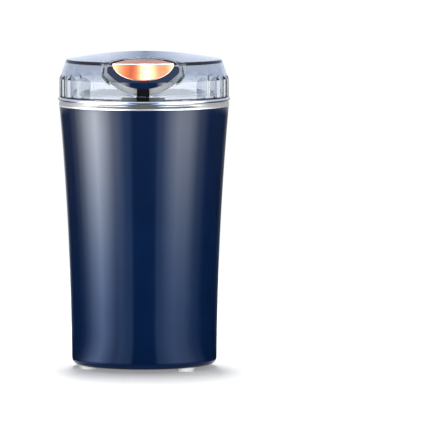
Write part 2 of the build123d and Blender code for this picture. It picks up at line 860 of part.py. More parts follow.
plunger_head_low = plunger_top - plunger_block
foot_high = plunger_head_low + clear_gap
foot_low = foot_high - plunger_foot
stem_low = foot_low - plunger_stem_length
guide_high = stem_low + guide_height + guide_height / 3
guide_low = guide_high - guide_height
lever_arm = plunger_stem_r - lever_pivot_x
lever_rise = lever_arm * math.tan(math.radians(lever_rest_deg)) + lever_thickness
pivot_z = stem_low - lever_tip_gap - lever_rise
switch_high = pivot_z - lever_pivot_height
switch_low = switch_high - switch_height
switch_mid_f = bracket_face_f + switch_depth / 2
bracket_back_f = bracket_face_f - bracket_plate


def make_key_guide():
    guide = front_block(key_half, key_back_f, far_front, ring_top, key_top)
    guide &= rod(key_front_r, ring_top, key_top)
    return guide - front_block(key_slot_half, key_slot_f, far_front, ring_top - overrun, key_top + overrun)


def make_switch_plunger():
    plunger = front_block(plunger_half, plunger_back_f, plunger_front_f, plunger_head_low, plunger_top)
    plunger += front_block(plunger_half, plunger_foot_back_f, plunger_foot_front_f, foot_low, foot_high)
    return plunger + rod(plunger_stem_r, stem_low, foot_low + clear_gap, 0, -plunger_stem_f)


def make_plunger_spring():
    return Pos(0, -plunger_stem_f, 0) * spring(plunger_spring_r, plunger_wire_r, plunger_turns, guide_high,
                                               foot_low, "plunger spring")


def make_switch_bracket():
    bracket = front_block(bracket_half, bracket_back_f, bracket_face_f, carrier_high, guide_high)
    bracket += front_block(bracket_half, bracket_back_f, bracket_flange_f, carrier_high,
                           carrier_high + bracket_flange)
    bracket += front_block(guide_half, bracket_back_f, guide_front_f, guide_low, guide_high)
    bracket -= rod(plunger_stem_r + running_gap, guide_low - overrun, guide_high + overrun, 0, -plunger_stem_f)
    for side in (-1, 1):
        bracket -= rod(small_shank_r + fit_gap, carrier_high - overrun, carrier_high + bracket_flange + overrun,
                       side * bracket_screw_x, -bracket_screw_f)
        bracket -= along_front(small_shank_r + fit_gap, bracket_back_f - overrun, bracket_face_f + overrun,
                               side * switch_screw_x, switch_low + switch_height / 3)
    return bracket


def make_bracket_screws():
    body = turned_over(screw(bracket_screw_length, small_shank_r, small_head_r, small_head_height))
    seat = carrier_high + bracket_flange
    return group([Pos(side * bracket_screw_x, -bracket_screw_f, seat) * body for side in (-1, 1)])


def make_microswitch():
    front_f = bracket_face_f + switch_depth
    switch = front_block(switch_half, bracket_face_f, front_f, switch_low, switch_high)
    switch += rod(switch_button_r, switch_high, switch_high + switch_button_height, switch_button_x,
                  -switch_mid_f)
    ear_gap = lever_width / 2 + clear_gap
    for side in (-1, 1):
        near_f = switch_mid_f + side * ear_gap
        ear_low, ear_high = sorted((near_f, near_f + side * lever_ear))
        ear = along_front(lever_ear_r, ear_low, ear_high, lever_pivot_x, pivot_z)
        ear += block(lever_pivot_x - lever_ear_r, lever_pivot_x + lever_ear_r, -ear_high, -ear_low,
                     switch_high, pivot_z)
        switch += ear
        tab_half = switch_tab / 2
        switch += block(side * switch_tab_x - switch_tab_width / 2, side * switch_tab_x + switch_tab_width / 2,
                        -switch_mid_f - tab_half, tab_half - switch_mid_f,
                        switch_low - switch_tab_length, switch_low)
        switch -= along_front(small_shank_r + fit_gap, bracket_face_f - overrun, front_f + overrun,
                              side * switch_screw_x, switch_low + switch_height / 3)
    return switch - along_front(lever_pin_r + running_gap, bracket_face_f, front_f + overrun,
                                lever_pivot_x, pivot_z)


def make_microswitch_screws():
    body = Rot(-90, 0, 0) * screw(switch_screw_length, small_shank_r, small_head_r, small_head_height)
    seat_f = bracket_face_f + switch_depth
    z = switch_low + switch_height / 3
    return group([Pos(side * switch_screw_x, -seat_f, z) * body for side in (-1, 1)])


def make_switch_lever():
    half = lever_width / 2
    arm = block(0, lever_length, -half, half, 0, lever_thickness)
    pin_half = half + clear_gap + lever_ear
    pin = Rot(90, 0, 0) * Cylinder(lever_pin_r, pin_half + pin_half)
    return Pos(lever_pivot_x, -switch_mid_f, pivot_z) * (Rot(0, -lever_rest_deg, 0) * arm + pin)


# Motor carrier

def make_motor_carrier():
    carrier = rod(shell_inside(carrier_low) - clear_gap, carrier_low, carrier_high)
    carrier += rod(carrier_boss_r, carrier_high, carrier_top_boss)
    boss_top = carrier_low + upper_boss + clear_gap
    carrier -= rod(carrier_bore_r, carrier_low - overrun, boss_top)
    carrier -= rod(bush_r + fit_gap, carrier_low, carrier_top_boss + overrun)
    for angle in window_angles:
        x, y = on_circle(window_circle_r, angle)
        carrier -= rod(window_r, carrier_low - overrun, carrier_high + overrun, x, y)
    for angle in post_angles:
        carrier -= rod(screw_pass_r, carrier_low - overrun, carrier_high + overrun,
                       *on_circle(post_circle_r, angle))
    for angle in bowl_screw_angles:
        carrier -= rod(screw_shank_r + fit_gap, carrier_top_boss - bowl_screw_length,
                       carrier_top_boss + overrun, *on_circle(bowl_screw_circle_r, angle))
    for side in (-1, 1):
        carrier -= rod(tie_shank_r + fit_gap, carrier_low - overrun, carrier_low + tie_grip + clear_gap,
                       0, side * tie_circle_r)
        carrier -= rod(small_shank_r + fit_gap, carrier_high - bracket_screw_length, carrier_high + overrun,
                       side * bracket_screw_x, -bracket_screw_f)
    return carrier


def make_carrier_dampers():
    places = [on_circle(post_circle_r, angle) for angle in post_angles]
    return group([tube(damper_r, screw_pass_r, post_high, carrier_low, x, y) for x, y in places])


def make_carrier_screws():
    body = turned_over(screw(carrier_screw_length, screw_shank_r, screw_head_r, screw_head_height))
    places = [on_circle(post_circle_r, angle) for angle in post_angles]
    return group([Pos(x, y, carrier_high) * body for x, y in places])


# Motor frame

def tie_holes(body, low, high):
    """The body with passages for the two long motor screws."""
    for side in (-1, 1):
        body -= rod(tie_shank_r + fit_gap, low - overrun, high + overrun, 0, side * tie_circle_r)
    return body


def columns(low, high):
    """The two feet of a motor bracket, standing on the stator's yoke."""
    pair = [block(-column_half, column_half, column_in_r, stator_r, low, high)]
    pair.append(mirror(pair[0], Plane.XZ))
    return pair[0] + pair[1]


def make_upper_bracket():
    low = carrier_low - bracket_bar_height
    bracket = rod(stator_r, low, carrier_low) & block(-bracket_bar_half, bracket_bar_half, -stator_r, stator_r,
                                                      low, carrier_low)
    bracket += rod(bearing_r + bearing_boss_wall, low, carrier_low + upper_boss)
    bracket += columns(stator_high, low) & rod(stator_r, stator_high, low)
    bracket -= rod(bearing_r + fit_gap, low - overrun, carrier_low + upper_boss + overrun)
    return tie_holes(bracket, stator_high, carrier_low)


def make_upper_bearing():
    low = carrier_low - bracket_bar_height
    return tube(bearing_r, shaft_r + running_gap, low, low + bearing_length)


def make_lower_bracket():
    boss_low = lower_plate_low - lower_boss_drop
    boss_high = lower_plate_high + lower_boss_rise
    bracket = rod(stator_r, lower_plate_low, lower_plate_high)
    bracket += rod(bearing_r + bearing_boss_wall, boss_low, boss_high)
    bracket += columns(lower_plate_high, stator_low) & rod(stator_r, lower_plate_high, stator_low)
    pedestal_far = math.sqrt(stator_r ** 2 - holder_half ** 2)
    for side in (-1, 1):
        near, far = sorted((side * pedestal_near_x, side * pedestal_far))
        bracket += block(near, far, -holder_half, holder_half, lower_plate_high, brush_z - holder_half)
    for index in range(4):
        bracket -= rod(air_window_r, lower_plate_low - overrun, lower_plate_high + overrun,
                       *on_circle(air_window_circle_r, 45 + 90 * index))
    bracket -= rod(bearing_r + fit_gap, boss_low - overrun, boss_high + overrun)
    return tie_holes(bracket, lower_plate_low, stator_low)


def make_lower_bearing():
    low = lower_plate_low - lower_boss_drop
    return tube(bearing_r, shaft_r + running_gap, low, low + bearing_length)


def make_motor_screws():
    length = carrier_low + tie_grip - lower_plate_low
    body = screw(length, tie_shank_r, tie_head_r, tie_head_height)
    return group([Pos(0, side * tie_circle_r, lower_plate_low) * body for side in (-1, 1)])


def make_stator_core():
    core = tube(stator_r, stator_bore_r, stator_low, stator_high)
    for start in (pole_half_angle, 180 + pole_half_angle):
        end = start + 180 - 2 * pole_half_angle
        core -= sector(stator_bore_r - clear_gap, stator_yoke_in_r, start, end, stator_low - overrun,
                       stator_high + overrun)
    return tie_holes(core, stator_low, stator_high)


def make_field_coil(turn):
    inner_half = pole_half_angle + coil_slot_gap_angle
    coil = sector(coil_in_r, coil_out_r, -coil_half_angle, coil_half_angle, stator_low - coil_overhang,
                  stator_high + coil_overhang)
    coil -= sector(stator_bore_r, stator_yoke_in_r, -inner_half, inner_half, stator_low - coil_end_gap,
                   stator_high + coil_end_gap)
    return Rot(0, 0, turn) * coil


# Brushes, one set on each side

def make_brush_holder(side):
    far_x = holder_near_x + holder_length
    inner = holder_half - holder_wall
    near, far = sorted((side * holder_near_x, side * far_x))
    holder = block(near, far, -holder_half, holder_half, brush_z - holder_half, brush_z + holder_half)
    near, far = sorted((side * (holder_near_x - overrun), side * (far_x - holder_wall)))
    return holder - block(near, far, -inner, inner, brush_z - inner, brush_z + inner)


def make_carbon_brush(side):
    half = holder_half - holder_wall - brush_play
    near = commutator_r + brush_near_gap
    low, high = sorted((side * near, side * (near + brush_length)))
    return block(low, high, -half, half, brush_z - half, brush_z + half)


def make_brush_spring(side):
    low = commutator_r + brush_near_gap + brush_length
    high = holder_near_x + holder_length - holder_wall
    body = spring(brush_spring_r, brush_wire_r, brush_turns, low, high, "brush spring")
    return Pos(0, 0, brush_z) * Rot(0, 90 * side, 0) * body


# Rotor

def make_shaft():
    shaft = rod(shaft_r, fan_low - shaft_tail, nut_high + shaft_tip)
    return shaft + rod(blade_collar_r, bush_top + blade_collar_gap, blade_low)


def make_armature_core():
    core = tube(armature_r, shaft_r + fit_gap, stator_low, stator_high)
    half = armature_slot_width / 2
    slot = block(armature_slot_in_r, armature_r + overrun, -half, half, stator_low - overrun,
                 stator_high + overrun)
    return core - [Rot(0, 0, 360 * index / armature_slots) * slot for index in range(armature_slots)]


def make_armature_winding():
    low, high = stator_low - winding_gap, stator_high + winding_gap
    half = armature_slot_width / 2 - winding_gap
    bar = block(armature_slot_in_r + winding_gap, winding_bar_out_r, -half, half, low - winding_gap,
                high + winding_gap)
    winding = tube(winding_r, winding_in_r, high, high + winding_height)
    winding += tube(winding_r, winding_in_r, low - winding_height, low)
    return winding + [Rot(0, 0, 360 * index / armature_slots) * bar for index in range(armature_slots)]


def make_commutator():
    body = tube(commutator_r, shaft_r + fit_gap, commutator_low, commutator_high)
    half = commutator_groove / 2
    groove = block(commutator_r - commutator_groove, commutator_r + overrun, -half, half,
                   commutator_low - overrun, commutator_high + overrun)
    return body - [Rot(0, 0, 360 * index / commutator_bars) * groove for index in range(commutator_bars)]


def make_cooling_fan():
    fan = rod(fan_hub_r, fan_low, fan_high) + rod(fan_r, fan_high - fan_disc, fan_high)
    half = fan_blade_width / 2
    vane = block(fan_eye_r, fan_r, -half, half, fan_low, fan_high)
    fan += [Rot(0, 0, 360 * index / fan_blades) * vane for index in range(fan_blades)]
    return fan - rod(shaft_r + fit_gap, fan_low - overrun, fan_high + overrun)


def make_blade():
    arm_outline = make_face(Polyline((0, -blade_root_half), (blade_flat, -blade_root_half),
                                     (blade_flat, blade_root_half),
                                     (0, blade_root_half), close=True))
    tip_length = (blade_r - blade_flat) / math.cos(math.radians(blade_tip_deg))
    tip_outline = make_face(Polyline((0, -blade_root_half), (tip_length, -blade_tip_half),
                                     (tip_length, blade_root_half),
                                     (0, blade_root_half), close=True))
    arm = extrude(arm_outline, blade_thickness)
    arm += Pos(blade_flat, 0, 0) * Rot(0, -blade_tip_deg, 0) * extrude(tip_outline, blade_thickness)
    blade = rod(blade_hub_r, 0, blade_thickness) + arm + Rot(0, 0, 180) * arm
    return Pos(0, 0, blade_low) * (blade - rod(shaft_r + fit_gap, -overrun, blade_thickness + overrun))


def make_blade_washer():
    return tube(washer_r, shaft_r + fit_gap, blade_high, washer_high)


def make_blade_nut():
    nut = extrude(RegularPolygon(nut_across / 2, 6, major_radius=False), nut_height)
    return Pos(0, 0, washer_high) * nut - rod(shaft_r + fit_gap, washer_high - overrun, nut_high + overrun)


# Electrical pieces

def make_terminal_block():
    high = floor_z + terminal_height
    far_y = terminal_near_y + terminal_depth
    body = block(-terminal_half, terminal_half, terminal_near_y, far_y, floor_z, high)
    middle = terminal_near_y + terminal_depth / 4
    for index in (-1, 0, 1):
        body -= rod(terminal_hole_r, high - terminal_hole_depth, high + overrun, index * terminal_pitch, middle)
    return body


def make_suppression_capacitor():
    low = seam_z + shelf_low + shelf_thickness
    body = block(capacitor_near_r, capacitor_near_r + capacitor_depth, -capacitor_half, capacitor_half, low,
                 low + capacitor_height)
    body = fillet(body.edges().filter_by(Axis.Z), capacitor_round)
    return Rot(0, 0, capacitor_angle) * body


def make_thermal_cutout():
    middle_r = (stator_r + stator_yoke_in_r) / 2
    return rod(cutout_r, stator_high, stator_high + cutout_height, *on_circle(middle_r, cutout_angle))


def lead(points, radii, name):
    """Insulated wire along straight runs joined by round bends."""
    path = FilletPolyline(*points, radius=radii)
    section = Plane(origin=path @ 0, z_dir=path % 0) * Circle(lead_r)
    wire = sweep(section, path=path)
    share = wire.volume / (math.pi * lead_r ** 2 * path.length)
    print(f"{name}: length {path.length:.1f} mm, volume over section times length {share:.4f}")
    return wire


# Routes of the leads, chosen by hand

terminal_top = floor_z + terminal_height
terminal_far_y = terminal_near_y + terminal_depth * 3 / 4
tab_low = switch_low - switch_tab_length


def make_lead_supply():
    points = [
        (-terminal_pitch, terminal_far_y, terminal_top),
        (-terminal_pitch, terminal_far_y, 26),
        (5, 32, 46),
        (6, 32, 99),
        (13, 36, 111),
        (31, 22, 112.5),
        (38, -4, 112),
        (30, -26.5, 111.5),
        (16, -38.2, 111),
        (switch_tab_x, -switch_mid_f, 111.3),
        (switch_tab_x, -switch_mid_f, tab_low),
    ]
    return lead(points, [6, 8, 8, 7, 12, 12, 12, 6, 3], "lead_supply")


def make_lead_switch():
    points = [
        (-switch_tab_x, -switch_mid_f, tab_low),
        (-switch_tab_x, -switch_mid_f, 111.3),
        (-16, -38.2, 111),
        (-27, -29, 110.5),
        (-32.5, -13, 110),
        (-32, -9, 98),
        (-32, -9, 66),
        (-29, -13.5, 55.5),
        (-22, -13, brush_z),
        (-22, -holder_half, brush_z),
    ]
    return lead(points, [3, 6, 8, 5, 8, 6, 4, 4], "lead_switch")


def make_lead_neutral():
    points = [
        (terminal_pitch, terminal_far_y, terminal_top),
        (terminal_pitch, terminal_far_y, 20),
        (12, 27, 34),
        (20.5, 20, 45),
        (22, 13, brush_z),
        (22, holder_half, brush_z),
    ]
    return lead(points, [5, 9, 5, 4], "lead_neutral")


# Every node by its name

nodes = {
    "body_shell": make_body_shell(),
    "base_cover": make_base_cover(),
    "base_screws": make_base_screws(),
    "cord_gland": make_cord_gland(),
    "top_ring": make_top_ring(),
    "bowl_seal": make_bowl_seal(),
    "grinding_bowl": make_grinding_bowl(),
    "bowl_bush": make_bowl_bush(),
    "bowl_screws": make_bowl_screws(),
    "lid_shell": make_lid_shell(),
    "button_cap": make_button_cap(),
    "button_carrier": make_button_carrier(),
    "push_rod": make_push_rod(),
    "button_washer": make_button_washer(),
    "button_screw": make_button_screw(),
    "button_spring": make_button_spring(),
    "key_guide": make_key_guide(),
    "switch_plunger": make_switch_plunger(),
    "plunger_spring": make_plunger_spring(),
    "switch_bracket": make_switch_bracket(),
    "bracket_screws": make_bracket_screws(),
    "microswitch": make_microswitch(),
    "microswitch_screws": make_microswitch_screws(),
    "switch_lever": make_switch_lever(),
    "motor_carrier": make_motor_carrier(),
    "carrier_dampers": make_carrier_dampers(),
    "carrier_screws": make_carrier_screws(),
    "upper_bracket": make_upper_bracket(),
    "upper_bearing": make_upper_bearing(),
    "lower_bracket": make_lower_bracket(),
    "lower_bearing": make_lower_bearing(),
    "motor_screws": make_motor_screws(),
    "stator_core": make_stator_core(),
    "field_coil_right": make_field_coil(0),
    "field_coil_left": make_field_coil(180),
    "shaft": make_shaft(),
    "armature_core": make_armature_core(),
    "armature_winding": make_armature_winding(),
    "commutator": make_commutator(),
    "cooling_fan": make_cooling_fan(),
    "blade": make_blade(),
    "blade_washer": make_blade_washer(),
    "blade_nut": make_blade_nut(),
    "terminal_block": make_terminal_block(),
    "suppression_capacitor": make_suppression_capacitor(),
    "thermal_cutout": make_thermal_cutout(),
    "lead_supply": make_lead_supply(),
    "lead_switch": make_lead_switch(),
    "lead_neutral": make_lead_neutral(),
}
for foot_name, foot_angle in foot_angles.items():
    nodes[foot_name] = make_foot(foot_angle)
for side_name, side_sign in (("right", 1), ("left", -1)):
    nodes[f"brush_holder_{side_name}"] = make_brush_holder(side_sign)
    nodes[f"carbon_brush_{side_name}"] = make_carbon_brush(side_sign)
    nodes[f"brush_spring_{side_name}"] = make_brush_spring(side_sign)

os.makedirs("parts", exist_ok=True)
for node_name, node_shape in nodes.items():
    export_step(node_shape, f"parts/{node_name}.step")
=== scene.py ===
import json
import math

import bpy
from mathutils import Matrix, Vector


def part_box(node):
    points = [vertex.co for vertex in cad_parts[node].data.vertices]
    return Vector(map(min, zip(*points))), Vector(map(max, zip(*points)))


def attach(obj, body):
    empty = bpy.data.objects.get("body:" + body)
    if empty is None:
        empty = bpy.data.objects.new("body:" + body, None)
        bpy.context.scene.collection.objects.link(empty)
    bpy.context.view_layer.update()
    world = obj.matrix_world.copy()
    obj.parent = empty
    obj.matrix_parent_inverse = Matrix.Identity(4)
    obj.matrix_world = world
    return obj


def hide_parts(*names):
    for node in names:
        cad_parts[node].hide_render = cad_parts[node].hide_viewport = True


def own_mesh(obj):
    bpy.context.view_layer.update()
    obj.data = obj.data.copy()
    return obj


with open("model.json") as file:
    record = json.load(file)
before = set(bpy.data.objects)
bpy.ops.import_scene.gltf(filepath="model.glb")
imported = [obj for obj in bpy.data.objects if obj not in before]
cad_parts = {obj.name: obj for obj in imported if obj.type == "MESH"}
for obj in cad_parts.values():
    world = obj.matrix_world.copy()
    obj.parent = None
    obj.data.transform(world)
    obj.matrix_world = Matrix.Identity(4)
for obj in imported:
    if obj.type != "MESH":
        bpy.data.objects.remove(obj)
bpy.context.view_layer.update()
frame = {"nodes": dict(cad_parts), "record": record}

nodes = frame["nodes"]
scene = bpy.context.scene


# Node helpers
def feed(tree, socket, value):
    if isinstance(value, bpy.types.NodeSocket):
        tree.links.new(value, socket)
    else:
        socket.default_value = value


def add(tree, kind, settings=None, **inputs):
    node = tree.nodes.new(kind)
    for key, value in (settings or {}).items():
        setattr(node, key, value)
    for key, value in inputs.items():
        feed(tree, node.inputs[key.replace("_", " ")], value)
    return node


def math_node(tree, operation, a, b=0.0):
    node = add(tree, "ShaderNodeMath", {"operation": operation})
    for socket, value in zip(node.inputs, (a, b)):
        feed(tree, socket, value)
    return node.outputs[0]


def product(tree, first, *others):
    for other in others:
        first = math_node(tree, "MULTIPLY", first, other)
    return first


def below(tree, value, limit):
    return math_node(tree, "LESS_THAN", value, limit)


def distance(tree, a, b):
    squares = math_node(tree, "ADD", product(tree, a, a), product(tree, b, b))
    return math_node(tree, "SQRT", squares)


def map_range(tree, value, low, high, to_low=0.0, to_high=1.0, smooth=False):
    settings = {"interpolation_type": "SMOOTHSTEP" if smooth else "LINEAR"}
    node = add(tree, "ShaderNodeMapRange", settings, Value=value, From_Min=low, From_Max=high,
               To_Min=to_low, To_Max=to_high)
    return node.outputs[0]


def grey_range(tree, factor, low, high):
    return map_range(tree, factor, 0.0, 1.0, low, high)


def opaque(colour):
    return (*colour, 1.0)


def shade(colour, share):
    return tuple(min(1.0, c * share) for c in colour)


def ramp(tree, factor, stops):
    node = tree.nodes.new("ShaderNodeValToRGB")
    elements = node.color_ramp.elements
    while len(elements) < len(stops):
        elements.new(0.5)
    for element, (place, colour) in zip(elements, stops):
        element.position = place
        element.color = opaque(colour)
    tree.links.new(factor, node.inputs[0])
    return node.outputs[0]


def mix_colours(tree, factor, a, b, blend="MIX"):
    settings = {"data_type": "RGBA", "blend_type": blend}
    return add(tree, "ShaderNodeMix", settings, Factor=factor, A=a, B=b).outputs["Result"]


def local(tree):
    return tree.nodes.new("ShaderNodeTexCoord").outputs["Object"]


def axes(tree, place):
    node = add(tree, "ShaderNodeSeparateXYZ", Vector=place)
    return [node.outputs[axis] for axis in "XYZ"]


def noise(tree, vector, scale, detail=3.0):
    return add(tree, "ShaderNodeTexNoise", Vector=vector, Scale=scale, Detail=detail).outputs["Fac"]


def add_shaders(tree, first, second):
    node = tree.nodes.new("ShaderNodeAddShader")
    for socket, shader in zip(node.inputs, (first, second)):
        tree.links.new(shader.outputs[0], socket)
    return node


def mix_shaders(tree, factor, first, second):
    node = tree.nodes.new("ShaderNodeMixShader")
    for socket, source in zip(node.inputs, (factor, first.outputs[0], second.outputs[0])):
        tree.links.new(source, socket)
    return node


# 1 for camera, glossy and transmission rays, to which the stage shows, and 0 for the others
def seen_rays(tree):
    paths = tree.nodes.new("ShaderNodeLightPath").outputs
    indirect = math_node(tree, "MAXIMUM", paths["Is Glossy Ray"], paths["Is Transmission Ray"])
    return math_node(tree, "MAXIMUM", paths["Is Camera Ray"], indirect)


def emptied(owner):
    owner.use_nodes = True
    owner.node_tree.nodes.clear()
    return owner.node_tree


def show(tree, shader, output):
    tree.links.new(shader.outputs[0], tree.nodes.new(output).inputs["Surface"])


def new_material(name, **values):
    made = bpy.data.materials.new(name)
    made.use_nodes = True
    tree = made.node_tree
    shader = tree.nodes["Principled BSDF"]
    for key, value in values.items():
        shader.inputs[key.replace("_", " ")].default_value = value
    return made, tree, shader


def bump(tree, shader, height, strength, depth):
    node = add(tree, "ShaderNodeBump", Height=height, Strength=strength, Distance=depth)
    tree.links.new(node.outputs[0], shader.inputs["Normal"])


def drifting(tree, factor, low, high, colour, drift):
    return ramp(tree, factor, [(low, shade(colour, 1.0 - drift)), (high, shade(colour, 1.0 + drift))])


# Noise scales, in periods per metre, and depths of relief, in metres
tone_scale = 55.0
gloss_scale = 180.0
grain_scale = 2600.0
grain_depth = 0.00005
brush_depth = 0.00003
groove_scale = 9000.0
groove_depth = 0.00002
band_gloss_scale = 400.0
band_depth = 0.0002
lid_tone_scale = 40.0
lid_gloss_scale = 220.0
lid_ripple_scale = 160.0
lid_ripple_depth = 0.0001

# Places on the lid, ring and button that their materials follow, in metres
lid_low, lid_high = (corner.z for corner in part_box("lid_shell"))
# Height of the painted shade line along the lid's lower edge
shade_line_height = 0.0006
lid_radius = 0.0482
lid_tone_drift = 0.004
cone_low = 0.1652
cone_slope = 0.3545
recess_half = 0.0232
recess_low = 0.1579
recess_arc = 0.0277
recess_high = 0.1746
recess_back = -0.01
recess_skin = 0.0004
frost_low = 0.162
frost_high = 0.169
ring_low = 0.1490
satin_edge = 0.0014
cap_half = 0.0177
cap_drop = 0.0101
cap_centre = 0.1762
cap_top = 0.1758
# Widths of the painted highlight lines along the cap's top edge and arc
cap_line = 0.0006
cap_arc_line = 0.0003

# Finish: roughness, shares of the lid's height and shares of frosting
satin_rough = 0.45
frosted_rough = 0.42
band_gloss_spread = 0.08
lid_gloss_spread = 0.015
lid_ripple = 0.03
lid_ior = 1.46
# Height share up to which the lid stays pale: painted light for the bright flutes
painted_light_share = 0.40
smoky_share = 0.52
frost_low_share = 0.80
frost_high_share = 0.12
noise_middle = 0.5


# Plastics and rubbers: tone that drifts slowly, a fine moulded grain and a varying gloss
def moulded(name, colour, rough, drift=0.10, grain=0.05, spread=0.03, **values):
    made, tree, shader = new_material(name, **values)
    place = local(tree)
    tone = drifting(tree, noise(tree, place, tone_scale, detail=4.0), 0.3, 0.7, colour, drift)
    tree.links.new(tone, shader.inputs["Base Color"])
    gloss = grey_range(tree, noise(tree, place, gloss_scale), rough - spread, rough + spread)
    tree.links.new(gloss, shader.inputs["Roughness"])
    bump(tree, shader, noise(tree, place, grain_scale, detail=2.0), grain, grain_depth)
    return made


# Metals: brushing along a direction, with tone and gloss following the brush lines
def brushed(name, colour, rough, stretch, drift=0.12, strength=0.06, spread=0.06, **values):
    made, tree, shader = new_material(name, Metallic=1.0, **values)
    mapping = add(tree, "ShaderNodeMapping", Vector=local(tree), Scale=stretch)
    lines = noise(tree, mapping.outputs[0], 1.0, detail=5.0)
    tree.links.new(drifting(tree, lines, 0.25, 0.75, colour, drift), shader.inputs["Base Color"])
    tree.links.new(grey_range(tree, lines, rough - spread, rough + spread), shader.inputs["Roughness"])
    bump(tree, shader, lines, strength, brush_depth)
    return made


# Metals turned on a lathe: brushing that runs round the vertical axis, satin between two heights
def turned_metal(name, colour, rough, drift=0.10, strength=0.08, spread=0.06, satin=None):
    made, tree, shader = new_material(name, Metallic=1.0)
    x, y, z = axes(tree, local(tree))
    joined = add(tree, "ShaderNodeCombineXYZ", X=distance(tree, x, y), Y=z)
    lines = noise(tree, joined.outputs[0], groove_scale)
    gloss = grey_range(tree, lines, rough - spread, rough + spread)
    if satin:
        low, high = satin
        band = product(tree, below(tree, low, z), below(tree, z, high), satin_rough)
        gloss = math_node(tree, "MAXIMUM", gloss, band)
    tree.links.new(drifting(tree, lines, 0.3, 0.7, colour, drift), shader.inputs["Base Color"])
    tree.links.new(gloss, shader.inputs["Roughness"])
    bump(tree, shader, lines, strength, groove_depth)
    return made


# Bands across one axis, a pitch apart: wound wire or stacked sheets
def banded(name, dark, light, axis, pitch, rough, metallic, strength):
    made, tree, shader = new_material(name, Metallic=metallic)
    place = local(tree)
    # A wave texture of scale 1 repeats every pi / 10 metres
    wave = add(tree, "ShaderNodeTexWave", {"bands_direction": axis, "wave_type": "BANDS"},
               Vector=place, Scale=math.pi / 10.0 / pitch, Distortion=0.4, Detail=1.0)
    bands = wave.outputs["Fac"]
    tree.links.new(ramp(tree, bands, [(0.1, dark), (0.7, light)]), shader.inputs["Base Color"])
    gloss = grey_range(tree, noise(tree, place, band_gloss_scale), rough - band_gloss_spread,
                       rough + band_gloss_spread)
    tree.links.new(gloss, shader.inputs["Roughness"])
    bump(tree, shader, bands, strength, band_depth)
    return made


# Copper plate of the button: brushed, with a painted highlight along the edge of its half-moon face: a pale,
# rougher line
def plated(name, colour, painted_edge, rough, stretch, **values):
    made = brushed(name, colour, rough, stretch, **values)
    tree = made.node_tree
    shader = tree.nodes["Principled BSDF"]
    tone, gloss = (shader.inputs[key].links[0].from_socket for key in ("Base Color", "Roughness"))
    x, _, z = axes(tree, local(tree))
    fall = math_node(tree, "SUBTRACT", z, cap_centre)
    reach = distance(tree, math_node(tree, "DIVIDE", x, cap_half), math_node(tree, "DIVIDE", fall, cap_drop))
    arc_line = below(tree, 1.0 - cap_arc_line / cap_drop, reach)
    lines = math_node(tree, "MAXIMUM", arc_line, below(tree, cap_top - cap_line, z))
    # Painted highlight: a pale line along the cap's top edge and arc, for the glint of a chamfer
    painted_highlight_rim = product(tree, lines, below(tree, z, cap_top))
    tree.links.new(mix_colours(tree, painted_highlight_rim, tone, opaque(painted_edge)), shader.inputs["Base Color"])
    satin = math_node(tree, "MAXIMUM", gloss, product(tree, painted_highlight_rim, satin_rough))
    tree.links.new(satin, shader.inputs["Roughness"])
    return made


# Part of the lid inside its front recess: behind the outer skin and within the U
def recess_mask(tree, x, y, z):
    rise = math_node(tree, "MAXIMUM", math_node(tree, "SUBTRACT", z, cone_low), 0.0)
    skin = math_node(tree, "SUBTRACT", lid_radius, product(tree, rise, cone_slope))
    depth = math_node(tree, "SUBTRACT", skin, distance(tree, x, y))
    arc = distance(tree, x, math_node(tree, "SUBTRACT", z, recess_low + recess_arc))
    across = math_node(tree, "ABSOLUTE", x)
    return product(tree, below(tree, recess_skin, depth), below(tree, across, recess_half),
                   below(tree, y, recess_back), below(tree, arc, recess_arc), below(tree, z, recess_high))


# Clear plastic of the lid: smoky cone, wall paler as painted light, painted shade line at the lower edge,
# frosted recess
def clear(name, smoky, painted_light_wall, painted_edge, frosted, rough):
    made, tree, shader = new_material(name, IOR=lid_ior)
    place = local(tree)
    x, y, z = axes(tree, place)
    wander = math_node(tree, "SUBTRACT", noise(tree, place, lid_tone_scale), noise_middle)
    drifted = math_node(tree, "ADD", z, product(tree, wander, lid_tone_drift))
    level = map_range(tree, drifted, lid_low, lid_high)
    # Tint by height: smoky cone, paler wall as painted light for the flutes' bright reflections
    body = ramp(tree, level, [(painted_light_share, painted_light_wall), (smoky_share, smoky)])
    # Painted shade: a dark line along the lid's lower edge, standing in for the shadowed gap over the ring
    tone = mix_colours(tree, below(tree, z, lid_low + shade_line_height), body, opaque(painted_edge))
    inside = recess_mask(tree, x, y, z)
    tree.links.new(mix_colours(tree, inside, tone, opaque(frosted)), shader.inputs["Base Color"])
    polish = grey_range(tree, noise(tree, place, lid_gloss_scale), rough - lid_gloss_spread,
                        rough + lid_gloss_spread)
    gloss = math_node(tree, "MAXIMUM", polish, product(tree, inside, frosted_rough))
    tree.links.new(gloss, shader.inputs["Roughness"])
    frost = map_range(tree, z, frost_low, frost_high, frost_low_share, frost_high_share)
    clearness = math_node(tree, "SUBTRACT", 1.0, product(tree, inside, frost))
    tree.links.new(clearness, shader.inputs["Transmission Weight"])
    bump(tree, shader, noise(tree, place, lid_ripple_scale, detail=2.0), lid_ripple, lid_ripple_depth)
    return made


